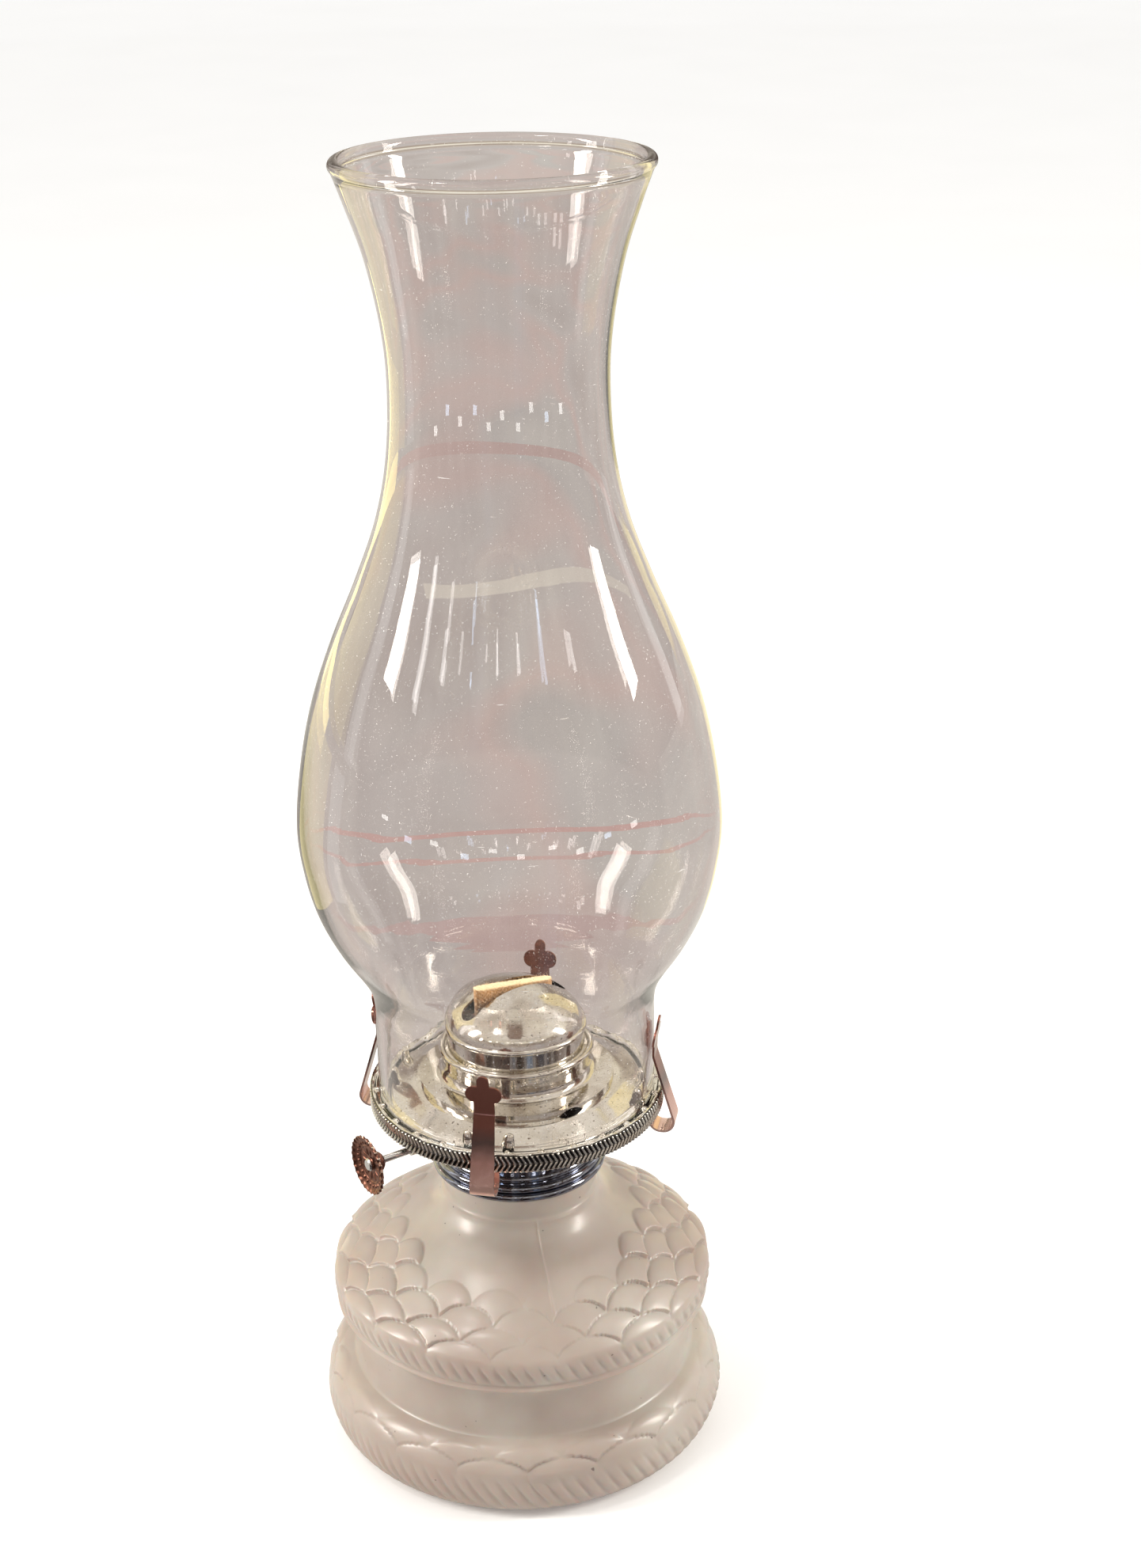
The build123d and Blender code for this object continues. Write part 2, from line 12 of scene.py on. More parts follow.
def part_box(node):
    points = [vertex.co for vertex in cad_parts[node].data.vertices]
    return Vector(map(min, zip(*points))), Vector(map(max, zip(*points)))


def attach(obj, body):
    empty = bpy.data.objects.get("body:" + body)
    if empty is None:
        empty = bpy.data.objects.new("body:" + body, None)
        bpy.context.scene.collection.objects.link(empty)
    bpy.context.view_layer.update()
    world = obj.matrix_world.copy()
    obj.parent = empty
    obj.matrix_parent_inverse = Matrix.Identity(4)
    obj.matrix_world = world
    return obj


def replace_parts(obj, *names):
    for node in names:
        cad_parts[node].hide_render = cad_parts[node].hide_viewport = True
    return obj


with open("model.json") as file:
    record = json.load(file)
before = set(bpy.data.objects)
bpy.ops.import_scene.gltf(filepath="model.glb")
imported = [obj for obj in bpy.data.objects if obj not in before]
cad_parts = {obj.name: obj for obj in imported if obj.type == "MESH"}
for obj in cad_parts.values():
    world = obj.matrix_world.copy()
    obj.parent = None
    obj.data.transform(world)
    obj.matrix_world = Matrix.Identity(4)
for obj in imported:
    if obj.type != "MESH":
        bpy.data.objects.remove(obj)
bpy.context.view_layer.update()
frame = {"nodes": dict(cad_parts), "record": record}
NODES = frame["nodes"]
MM = 0.001
TAU = 2 * math.pi

# ---------------------------------------------------------------- where things are
CAMERA_TURN = math.radians(-32.0)
CAMERA_DISTANCE = 572.6 * MM                 # level, from the lamp's axis
CAMERA_HEIGHT = 439.6 * MM
CAMERA_PITCH = math.radians(23.19)
CAMERA_YAW = math.radians(1.61)
CAMERA_ROLL = math.radians(-0.88)
CAMERA_LENS = 54.5
SENSOR_WIDTH = 36.0
CLIP_START = 0.01
FRONT_ANGLE = CAMERA_TURN - math.pi / 2      # the lathe angle that faces the camera
AIM_HEIGHT = 0.14                            # what the cards and softboxes face
OFF_FLOOR = 0.0005                           # keeps level staging surfaces off the floor
MERGE_DISTANCE = 1e-7


# ---------------------------------------------------------------- the lamp's sizes that the looks need, in mm
WICK_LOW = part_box("wick")[0].z / MM
WICK_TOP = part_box("wick")[1].z / MM
WICK_FALL = 3.6
WICK_MIDDLE = WICK_TOP - WICK_FALL / 2
WICK_HALF_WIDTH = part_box("wick")[1].x / MM
WICK_HALF_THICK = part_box("wick")[1].y / MM
WICK_SLOPE = -WICK_FALL / (2 * WICK_HALF_WIDTH)
KNOB_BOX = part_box("knob")                              # in metres
KNOB_HEIGHT = (KNOB_BOX[0].z + KNOB_BOX[1].z) / 2      # in metres
KNOB_Y = (KNOB_BOX[0].y + KNOB_BOX[1].y) / 2 / MM
KNURL_R = 40.35
LAMP_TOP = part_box("chimney")[1].z / MM
CHIMNEY_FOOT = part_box("chimney")[0].z / MM


# ---------------------------------------------------------------- mesh helpers
def smooth_line(points, step):
    """A Catmull-Rom line through the points, with a point about every step."""
    points = np.asarray(points, float)
    ends = np.vstack([2 * points[0] - points[1], points, 2 * points[-1] - points[-2]])
    line = []
    for before, start, end, after in zip(ends, ends[1:], ends[2:], ends[3:]):
        count = max(1, int(round(np.hypot(*(end - start)) / step)))
        t = np.linspace(0, 1, count, endpoint=False)[:, None]
        line.append(
            0.5 * (2 * start + (end - before) * t + (2 * before - 5 * start + 4 * end - after) * t**2
                   + (3 * start - before - 3 * end + after) * t**3)
        )
    return np.vstack(line + [points[-1:]])


def straight_line(points, step):
    """A line of straight runs through the points, with a point about every step."""
    line = []
    for start, end in zip(points, points[1:]):
        start, end = np.array(start, float), np.array(end, float)
        count = max(1, int(round(np.hypot(*(end - start)) / step)))
        line.append(start + (end - start) * np.linspace(0, 1, count, endpoint=False)[:, None])
    return np.vstack(line + [np.array(points[-1:], float)])


def new_piece(name, vertices, faces, material, body, smooth=True):
    """Make a mesh piece from arrays, merge its poles, and let it ride on a body."""
    mesh = bpy.data.meshes.new(name)
    mesh.from_pydata(np.asarray(vertices).tolist(), [], np.asarray(faces).tolist())
    work = bmesh.new()
    work.from_mesh(mesh)
    bmesh.ops.remove_doubles(work, verts=work.verts, dist=MERGE_DISTANCE)
    work.to_mesh(mesh)
    work.free()
    mesh.polygons.foreach_set("use_smooth", [smooth] * len(mesh.polygons))
    mesh.materials.append(material)
    piece = bpy.data.objects.new(name, mesh)
    bpy.context.scene.collection.objects.link(piece)
    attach(piece, body)
    return piece


def grid_faces(rows, columns, close_rows=False):
    """Quads of a grid whose columns wrap round, and whose rows do too if asked."""
    last = rows if close_rows else rows - 1
    row = np.arange(last)[:, None]
    column = np.arange(columns)[None, :]
    right = (column + 1) % columns
    above = (row + 1) % rows
    quads = [row * columns + column, row * columns + right, above * columns + right, above * columns + column]
    return np.stack(np.broadcast_arrays(*quads), -1).reshape(-1, 4)


def lathe_points(outline, segments, relief=None):
    """An outline of (radius, height) turned round +Z, moved along its normal by relief(angle, r, z)."""
    outline = np.asarray(outline, float) * MM
    angles = np.linspace(0, TAU, segments, endpoint=False)[None, :]
    tangent = np.gradient(outline, axis=0)
    normal = np.stack([tangent[:, 1], -tangent[:, 0]], 1)
    normal /= np.maximum(np.linalg.norm(normal, axis=1), 1e-12)[:, None]
    push = np.zeros((len(outline), segments))
    if relief:
        push = relief(angles, outline[:, :1] / MM, outline[:, 1:] / MM) * MM
    radius = outline[:, :1] + normal[:, :1] * push
    height = outline[:, 1:] + normal[:, 1:] * push
    return np.stack([radius * np.cos(angles), radius * np.sin(angles), height], -1).reshape(-1, 3)


def bump(x, width):
    """A smooth rise from 0 at the edges of +-width to 1 in the middle."""
    return np.clip(1 - (x / width) ** 2, 0, 1) ** 2


# ---------------------------------------------------------------- material helpers
class Shader:
    """A Principled material with short ways to add noise, ramps and bump."""

    def __init__(self, name, **sockets):
        self.material = bpy.data.materials.new(name)
        self.material.use_nodes = True
        self.tree = self.material.node_tree
        self.main = self.tree.nodes["Principled BSDF"]
        for socket, value in sockets.items():
            self.main.inputs[socket.replace("_", " ")].default_value = value
        self.place = self.node("ShaderNodeTexCoord").outputs["Object"]

    def node(self, kind, **settings):
        """A new node with these settings."""
        made = self.tree.nodes.new(kind)
        for setting, value in settings.items():
            setattr(made, setting, value)
        return made

    def link(self, source, target):
        """Join an output socket to an input socket."""
        self.tree.links.new(source, target)

    def noise(self, scale, detail=4.0, stretch=None):
        """Noise in the object's own space, drawn out by stretch."""
        made = self.node("ShaderNodeTexNoise")
        made.inputs["Scale"].default_value = scale
        made.inputs["Detail"].default_value = detail
        made.inputs["Roughness"].default_value = 0.55
        place = self.place
        if stretch:
            mapping = self.node("ShaderNodeMapping")
            mapping.inputs["Scale"].default_value = stretch
            self.link(place, mapping.inputs["Vector"])
            place = mapping.outputs["Vector"]
        self.link(place, made.inputs["Vector"])
        return made.outputs["Fac"]

    def ramp(self, factor, *stops):
        """A colour from stops of (position, colour)."""
        made = self.node("ShaderNodeValToRGB")
        elements = made.color_ramp.elements
        while len(elements) < len(stops):
            elements.new(0.5)
        for element, (position, color) in zip(elements, stops):
            element.position = position
            element.color = (*color, 1.0)
        self.link(factor, made.inputs["Fac"])
        return made.outputs["Color"]

    def spread(self, factor, low, high, start=0.0, end=1.0):
        """A value that goes from low to high while factor goes from start to end."""
        made = self.node("ShaderNodeMapRange")
        made.inputs["From Min"].default_value = start
        made.inputs["From Max"].default_value = end
        made.inputs["To Min"].default_value = low
        made.inputs["To Max"].default_value = high
        self.link(factor, made.inputs["Value"])
        return made.outputs["Result"]

    def mix(self, factor, first, second):
        """The first colour where factor is 0, the second where it is 1."""
        made = self.node("ShaderNodeMix", data_type="RGBA")
        self.link(factor, made.inputs["Factor"])
        for value, target in ((first, made.inputs["A"]), (second, made.inputs["B"])):
            if isinstance(value, tuple):
                target.default_value = (*value, 1.0)
            else:
                self.link(value, target)
        return made.outputs["Result"]

    def height(self):
        """How high a point is, in metres."""
        split = self.node("ShaderNodeSeparateXYZ")
        self.link(self.place, split.inputs["Vector"])
        return split.outputs["Z"]

    def color(self, source):
        """Use source as the base colour."""
        self.link(source, self.main.inputs["Base Color"])

    def rough(self, source):
        """Use source as the roughness."""
        self.link(source, self.main.inputs["Roughness"])

    def bumps(self, source, strength, distance):
        """Use source as a bump height."""
        made = self.node("ShaderNodeBump")
        made.inputs["Strength"].default_value = strength
        made.inputs["Distance"].default_value = distance
        self.link(source, made.inputs["Height"])
        self.link(made.outputs["Normal"], self.main.inputs["Normal"])

    def along(self, direction):
        """How far a point lies along a direction, in metres."""
        made = self.node("ShaderNodeVectorMath", operation="DOT_PRODUCT")
        made.inputs[1].default_value = direction
        self.link(self.place, made.inputs[0])
        return made.outputs["Value"]

    def reach(self, weights, centre=(0.0, 0.0, 0.0)):
        """How far a point lies from an axis through centre, where weights is 0 along the axis."""
        offset = self.node("ShaderNodeVectorMath", operation="SUBTRACT")
        offset.inputs[1].default_value = centre
        self.link(self.place, offset.inputs[0])
        flat = self.node("ShaderNodeVectorMath", operation="MULTIPLY")
        flat.inputs[1].default_value = weights
        self.link(offset.outputs["Vector"], flat.inputs[0])
        made = self.node("ShaderNodeVectorMath", operation="LENGTH")
        self.link(flat.outputs["Vector"], made.inputs[0])
        return made.outputs["Value"]

    def bearing_noise(self, scale, seed):
        """Noise that changes only with the bearing round +Z."""
        split = self.node("ShaderNodeSeparateXYZ")
        self.link(self.place, split.inputs["Vector"])
        turn = self.node("ShaderNodeMath", operation="ARCTAN2")
        self.link(split.outputs["Y"], turn.inputs[0])
        self.link(split.outputs["X"], turn.inputs[1])
        shift = self.node("ShaderNodeMath", operation="ADD")
        self.link(turn.outputs["Value"], shift.inputs[0])
        shift.inputs[1].default_value = seed
        made = self.node("ShaderNodeTexNoise", noise_dimensions="1D")
        made.inputs["Scale"].default_value = scale
        made.inputs["Detail"].default_value = 1.5
        self.link(shift.outputs["Value"], made.inputs["W"])
        return made.outputs["Fac"]

    def glow(self, source, strength):
        """Replace the surface with a plain glow."""
        made = self.node("ShaderNodeEmission")
        made.inputs["Strength"].default_value = strength
        self.link(source, made.inputs["Color"])
        self.link(made.outputs["Emission"], self.tree.nodes["Material Output"].inputs["Surface"])
        self.tree.nodes.remove(self.main)
        self.material.cycles.emission_sampling = "NONE"


def metal(name, light, dark, rough, spots, scale=160.0, spot_scale=900.0, spot_start=0.66, knurl_shade=False):
    """Plated metal: cloudy tarnish between two colours, dark spots, uneven polish, and painted shade in a
    knurl's grooves.
    """
    shader = Shader(name, Metallic=1.0)
    cloud = shader.ramp(shader.noise(scale, 6.0), (0.38, dark), (0.62, light))
    pits = shader.spread(shader.noise(spot_scale, 2.0), 0.0, 1.0, spot_start, spot_start + 0.06)
    color = shader.mix(pits, cloud, spots)
    if knurl_shade:
        # Painted shade: the metal is darkened nearly to black at the radii of the knurl's sunk grooves.
        start, end = (KNURL_R - 0.5) * MM, (KNURL_R + 0.5) * MM
        depth = shader.spread(shader.reach((1.0, 1.0, 0.0)), 0.0, 1.0, start, end)
        shade = shader.ramp(
            depth,
            (0.14, (0.0, 0.0, 0.0)), (0.20, (1.0, 1.0, 1.0)),
            (0.44, (0.9, 0.9, 0.9)), (0.62, (0.0, 0.0, 0.0)),
        )
        color = shader.mix(shade, color, (0.035, 0.028, 0.025))
    shader.color(color)
    shader.rough(shader.spread(shader.noise(scale * 1.7, 5.0), rough[0], rough[1], 0.35, 0.7))
    shader.bumps(shader.noise(spot_scale * 0.8, 3.0), 0.08, 0.0001)
    return shader.material


def clear_glass():
    """Chimney glass: clear, faintly warm grey, with dust and fine rub marks."""
    shader = Shader("clear_glass", IOR=1.47, Roughness=0.0)
    dust = shader.spread(shader.noise(1900.0, 1.0), 0.0, 1.0, 0.735, 0.775)
    scratches = shader.spread(shader.noise(420.0, 2.0, stretch=(0.25, 0.25, 2.2)), 0.0, 1.0, 0.76, 0.80)
    marks = shader.node("ShaderNodeMath", operation="MAXIMUM")
    shader.link(dust, marks.inputs[0])
    shader.link(scratches, marks.inputs[1])
    streaks = shader.ramp(
        shader.noise(70.0, 4.0, stretch=(1.0, 1.0, 0.25)),
        (0.35, (0.93, 0.905, 0.90)), (0.7, (0.96, 0.94, 0.93)),
    )
    shader.color(shader.mix(marks.outputs["Value"], streaks, (0.95, 0.93, 0.90)))
    shader.link(shader.spread(marks.outputs["Value"], 1.0, 0.35), shader.main.inputs["Transmission Weight"])
    shader.rough(shader.spread(marks.outputs["Value"], 0.0, 0.5))
    shader.bumps(shader.noise(22.0, 2.0, stretch=(1.0, 1.0, 0.4)), 0.05, 0.002)
    return shader.material


def frosted_glass():
    """Acid-frosted blown glass: milky, faintly warm, with fine grain and small dark specks."""
    shader = Shader(
        "frosted_glass",
        Transmission_Weight=0.38,
        IOR=1.5,
        Subsurface_Weight=0.35,
        Subsurface_Scale=0.004,
        Coat_Weight=0.6,
        Coat_Roughness=0.24,
    )
    clouds = shader.ramp(
        shader.noise(26.0, 4.0),
        (0.30, (0.55, 0.445, 0.385)),
        (0.50, (0.62, 0.53, 0.46)),
        (0.70, (0.71, 0.655, 0.58)),
    )
    specks = shader.spread(shader.noise(520.0, 1.0), 0.0, 0.8, 0.785, 0.80)
    shader.color(shader.mix(specks, clouds, (0.16, 0.12, 0.10)))
    shader.rough(shader.spread(shader.noise(90.0, 4.0), 0.34, 0.50, 0.3, 0.7))
    shader.bumps(shader.noise(3200.0, 2.0), 0.25, 0.00008)
    return shader.material


def wick_cotton():
    """Woven cotton: cream at the cut top, tan and oil-brown down the sides."""
    shader = Shader("wick_cotton", Roughness=0.95, Sheen_Weight=0.3)
    rise = shader.along((-WICK_SLOPE, 0.0, 1.0))
    top = WICK_MIDDLE * MM
    height = shader.spread(rise, 0.0, 1.0, top - 7.0 * MM, top - 0.2 * MM)
    stain = shader.ramp(
        height,
        (0.0, (0.14, 0.07, 0.03)),
        (0.45, (0.34, 0.17, 0.07)),
        (0.90, (0.56, 0.31, 0.13)),
        (1.0, (0.86, 0.64, 0.38)),
    )
    threads = shader.spread(shader.noise(1500.0, 4.0), 0.0, 0.6, 0.50, 0.72)
    shader.color(shader.mix(threads, stain, (0.88, 0.68, 0.42)))
    shader.bumps(shader.noise(3800.0, 4.0), 0.5, 0.0002)
    return shader.material


def plaster():
    """Rough cement under the collar."""
    shader = Shader("cement", Roughness=0.9)
    shader.color(shader.ramp(shader.noise(400.0), (0.3, (0.55, 0.52, 0.46)), (0.7, (0.75, 0.72, 0.66))))
    shader.bumps(shader.noise(900.0), 0.6, 0.0003)
    return shader.material


def prong_bronze():
    """Spring bronze, copper-brown, with a painted reflection by height: pale at the bottom bend and dark up
    at the finial.
    """
    shader = Shader("prong_bronze", Metallic=0.8)
    uneven = shader.node("ShaderNodeMath", operation="MULTIPLY_ADD")
    shader.link(shader.noise(180.0, 3.0), uneven.inputs[0])
    uneven.inputs[1].default_value = 0.003
    shader.link(shader.height(), uneven.inputs[2])
    level = shader.spread(uneven.outputs["Value"], 0.0, 1.0, 0.094, 0.132)
    # Painted reflection by height: pale at the bottom bend, copper-brown low down, near black higher up and
    # dark brown at the finial.
    shader.color(shader.ramp(
        level,
        (0.02, (0.95, 0.80, 0.72)), (0.10, (0.84, 0.55, 0.47)), (0.34, (0.58, 0.33, 0.28)),
        (0.46, (0.15, 0.10, 0.09)), (0.58, (0.24, 0.10, 0.075)), (1.0, (0.30, 0.13, 0.10)),
    ))
    shader.rough(shader.spread(shader.noise(300.0, 4.0), 0.08, 0.20, 0.35, 0.7))
    shader.bumps(shader.noise(700.0, 3.0), 0.06, 0.0001)
    return shader.material


def knob_copper():
    """Dark copper-brown plating, rubbed to pale metal at the knob's scalloped edge."""
    shader = Shader("knob_copper", Metallic=1.0)
    centre = (0.0, KNOB_Y * MM, KNOB_HEIGHT)
    ragged = shader.node("ShaderNodeMath", operation="MULTIPLY_ADD")
    shader.link(shader.noise(700.0, 3.0), ragged.inputs[0])
    ragged.inputs[1].default_value = 0.0016
    shader.link(shader.reach((0.0, 1.0, 1.0), centre), ragged.inputs[2])
    worn = shader.spread(ragged.outputs["Value"], 0.0, 1.0, 0.0087, 0.0092)
    brown = shader.ramp(shader.noise(900.0, 4.0), (0.35, (0.10, 0.04, 0.03)), (0.60, (0.26, 0.12, 0.085)))
    shader.color(shader.mix(worn, brown, (0.66, 0.56, 0.47)))
    shader.rough(shader.spread(shader.noise(1200.0, 3.0), 0.25, 0.5))
    shader.bumps(shader.noise(1500.0, 3.0), 0.3, 0.0001)
    return shader.material


# ---------------------------------------------------------------- the materials
MATERIALS = {
    "clear_glass": clear_glass(),
    "frosted_glass": frosted_glass(),
    "wick_cotton": wick_cotton(),
    "cement": plaster(),
    "knob_copper": knob_copper(),
    "chrome": metal("chrome", (0.32, 0.335, 0.40), (0.19, 0.195, 0.23), (0.03, 0.10), (0.10, 0.08, 0.07)),
    "burner_metal": metal(
        "burner_metal", (0.82, 0.80, 0.755), (0.64, 0.60, 0.54), (0.05, 0.16), (0.20, 0.14, 0.10),
        110.0, 1500.0, 0.64,
    ),
    "steel": metal("steel", (0.72, 0.72, 0.74), (0.50, 0.49, 0.49), (0.08, 0.20), (0.16, 0.12, 0.10)),
    "prong_bronze": prong_bronze(),
}
RIM_METAL = metal(
    "rim_metal", (0.88, 0.865, 0.825), (0.71, 0.68, 0.62), (0.05, 0.14), (0.20, 0.14, 0.10),
    110.0, 1500.0, 0.64, knurl_shade=True,
)


# ---------------------------------------------------------------- glass base
BASE_OUTSIDE = [
    ("straight", [(46.5, 0.0), (51.5, 0.0)], 1.0),
    ("smooth", [
        (51.5, 0.0), (55.4, 3.7), (57.0, 9.0), (56.2, 13.6), (54.0, 18.2), (51.9, 20.6), (48.8, 21.9),
    ], 0.45),
    ("smooth", [(48.8, 21.9), (47.9, 24.5), (47.6, 30.0), (47.9, 35.0), (48.6, 38.2)], 1.1),
    ("smooth", [(48.6, 38.2), (50.6, 39.5), (52.4, 39.9), (52.9, 40.5), (52.5, 41.2), (52.3, 41.7)], 0.3),
    ("smooth", [
        (52.3, 41.7), (53.0, 43.2), (53.5, 45.6), (53.3, 47.6), (52.3, 49.4), (50.4, 51.4), (47.6, 54.0),
        (44.0, 56.4), (38.4, 60.2), (33.0, 63.8), (28.4, 66.4), (25.0, 68.8), (22.8, 71.4), (21.8, 73.6),
    ], 0.4),
    ("straight", [
        (21.8, 73.6), (21.2, 74.1), (21.5, 76.5), (22.4, 80.9), (19.6, 80.9), (19.6, 87.0), (17.3, 87.0),
    ], 1.2),
]
BASE_INSIDE = [
    (17.3, 87.0), (17.3, 76.0), (18.6, 73.0), (21.5, 68.5), (30.0, 62.8), (41.0, 54.6), (47.6, 50.0),
    (50.5, 45.6), (49.6, 41.2), (46.0, 38.0), (44.6, 30.0), (44.9, 18.0), (45.2, 8.0), (43.0, 5.2),
    (30.0, 5.0), (0.0, 5.0),
]
UNDERSIDE = [(0.0, 2.0), (45.3, 2.0), (46.5, 0.0)]
SCALE_COUNT = 18
SCALE_PITCH = TAU / SCALE_COUNT
# Rows of scales: height of the top, radius there, and whether the row is staggered.
FONT_SCALE_ROWS = [(64.5, 33.0, 0), (61.6, 36.6, 1), (58.4, 41.2, 0), (55.4, 45.4, 1), (52.6, 48.9, 0)]
FOOT_SCALE_ROWS = [(21.3, 50.2, 0), (18.4, 54.0, 1)]
FONT_SCALE = (3.7, 1.35)     # a scale's length and rise
FOOT_SCALE = (3.4, 1.0)
FONT_LOW = 41.5
FOOT_HIGH = 22.0
FLUTE_COUNT = 84
FLUTE_SLANT = 0.0110
FLUTE_DEPTH = 0.60
SEAM_ANGLE = math.radians(11.3)
SEAM_RISE = 0.16


def wrap(angle):
    """An angle brought to within half a turn of zero."""
    return (angle + math.pi) % TAU - math.pi


def scale_rows(height, angle, rows, length, rise, fade, present):
    """Overlapping scales: each row's scales cover the lower part of the row above them."""
    surface = np.zeros(np.broadcast_shapes(height.shape, angle.shape))
    for top, row_radius, stagger in rows:
        turn = wrap(angle - FRONT_ANGLE) / SCALE_PITCH + 0.5 * stagger
        across = (turn - np.round(turn)) * SCALE_PITCH * row_radius
        centre = (np.round(turn) - 0.5 * stagger) * SCALE_PITCH
        half_width = 0.5 * SCALE_PITCH * row_radius * 1.04
        down = (top - length) - height
        distance = np.sqrt((across / half_width) ** 2 + (down / length) ** 2)
        inside = np.where(down < 0, distance, np.abs(across) / half_width) < 1.0
        inside = inside & (down < length * 1.6) & present(centre, top)
        edge = np.clip(1 - np.where(down < 0, distance, np.abs(across) / half_width), 0, 1)
        lot = np.round(turn) * 12.9898 + row_radius * 78.233
        luck = 0.72 + 0.5 * np.abs(np.sin(lot))
        dome = luck * rise * (1 - np.exp(-edge / 0.30)) - 0.10 * rise * np.exp(-((edge / 0.07) ** 2))
        surface = np.where(inside, dome * fade(centre), surface)
    return surface


def base_relief(angle, radius, height):
    """Scales on shoulder and foot, rope flutes under both, the mould seam, and slight unevenness."""
    facing = wrap(angle - FRONT_ANGLE)
    on_font = (height > FONT_LOW) & (radius > 26)
    on_foot = (height < FOOT_HIGH) & (height > 0.1)

    def font_fade(centre):
        return 0.16 + 0.84 * np.clip(np.abs(np.sin(centre)) * 1.9 - 0.45, 0, 1)

    def font_present(centre, top):
        return (top < 62.5) | (np.abs(np.sin(centre)) > 0.86)

    def foot_fade(centre):
        return 0.55 + 0.25 * np.sin(3 * centre + 1.0)

    font = scale_rows(height, angle, FONT_SCALE_ROWS, *FONT_SCALE, font_fade, font_present)
    font = font * on_font * np.clip((height - 47.5) / 2.0, 0, 1)
    foot = scale_rows(height, angle, FOOT_SCALE_ROWS, *FOOT_SCALE, foot_fade, lambda centre, top: True)
    foot = foot * on_foot * np.clip((height - 12.5) / 2.5, 0, 1)
    rope = (facing + FLUTE_SLANT * height) * FLUTE_COUNT
    groove = -FLUTE_DEPTH * (0.5 + 0.5 * np.cos(rope)) ** 3
    font_band = bump(height - 45.2, 4.2) * (radius > 52)
    foot_band = bump(height - 8.0, 7.0) * (radius > 52.5)
    seam = SEAM_RISE * np.exp(-(((facing - SEAM_ANGLE) * np.maximum(radius, 5) / 0.35) ** 2))
    seam = seam * ((height > 57.0) & (height < 73.4))
    waver = 0.10 * np.sin(3 * facing + 0.35 * height) + 0.07 * np.sin(7 * facing - 0.22 * height + 1.0)
    waver = waver * (height > 6.0) * (height < 73.0)
    return font + foot + groove * (font_band + foot_band) + seam + waver


def make_base():
    """The font and foot, one blown hollow piece of frosted glass."""
    runs = [straight_line(UNDERSIDE, 6.0)]
    for kind, points, step in BASE_OUTSIDE:
        line = smooth_line if kind == "smooth" else straight_line
        runs.append(line(points, step)[1:])
    outside = np.vstack(runs)
    segments = 1008
    outer = lathe_points(outside, segments, base_relief)
    inner = lathe_points(smooth_line(BASE_INSIDE, 2.5), segments)
    rows = len(outer) // segments + len(inner) // segments
    return new_piece(
        "glass_base", np.vstack([outer, inner]), grid_faces(rows, segments), MATERIALS["frosted_glass"],
        "base",
    )


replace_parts(make_base(), "font")


# ---------------------------------------------------------------- chimney
CHIMNEY_SIDE = [
    (38.0, CHIMNEY_FOOT), (38.0, 118.0), (38.0, 128.0), (38.0, 132.0), (38.7, 137.0), (40.4, 141.6),
    (42.9, 146.0), (47.9, 154.0), (52.2, 163.6), (54.8, 174.5), (55.8, 186.4), (54.0, 202.7),
    (50.5, 218.9), (44.9, 235.1), (38.0, 251.3), (32.0, 267.5), (28.6, 283.7), (27.5, 301.5),
    (28.4, 316.0), (31.5, 332.4), (35.5, 345.0), (37.9, LAMP_TOP - 4.2),
]
CHIMNEY_WALL = 2.0
LIP_RADIUS = 1.55
LIP_CENTRE = np.array([37.55, LAMP_TOP - LIP_RADIUS])


def make_chimney():
    """The clear chimney: a thin blown wall with a fire-polished lip and a faint unevenness."""
    side = smooth_line(CHIMNEY_SIDE, 1.6)
    lip_turn = np.linspace(-0.9, math.pi + 0.9, 18)[:, None]
    lip = LIP_CENTRE + LIP_RADIUS * np.hstack([np.cos(lip_turn), np.sin(lip_turn)])
    inside = side[::-1] - np.array([CHIMNEY_WALL, 0.0])
    outline = np.vstack([side, lip, inside])

    def uneven(angle, radius, height):
        free = np.clip((height - 135.0) / 30.0, 0, 1) * np.clip((LAMP_TOP - height) / 8.0, 0, 1)
        wave = 0.14 * np.sin(2 * angle + 0.021 * height) + 0.08 * np.sin(3 * angle - 0.034 * height)
        return free * wave

    segments = 288
    points = lathe_points(outline, segments, uneven)
    return new_piece(
        "glass_chimney", points, grid_faces(len(outline), segments, close_rows=True),
        MATERIALS["clear_glass"], "chimney",
    )


chimney = make_chimney()
chimney.visible_shadow = False
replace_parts(chimney, "chimney")


# ---------------------------------------------------------------- gallery
RIB_COUNT = 27
KNURL_COUNT = 184
KNURL_LOW = 101.2
KNURL_HIGH = 105.7
KNURL_MIDDLE = 103.4
KNURL_DEPTH = 0.30
RIB_HEIGHT = 0.75
NOTCH_DEPTH = 0.35
NOTCH_FROM = 39.4             # the radius where ribs end and notches start
DECK_LINE = [(26.2, 108.4), (28.4, 108.15), (31.0, 107.4), (33.2, 106.8), (34.6, 106.4)]
RIM_LINE = [
    (34.6, 106.4), (35.2, 105.8), (39.0, 105.8), (39.3, 106.15), (39.6, 106.3), (39.95, 106.25),
    (KNURL_R - 0.1, 106.0),
]
KNURL_LINE = [(KNURL_R, 105.85), (KNURL_R, 101.1)]
UNDER_LINE = [(40.0, 100.95), (39.5, 100.95), (39.5, 105.2), (34.6, 105.2), (31.0, 106.75), (26.2, 107.8)]


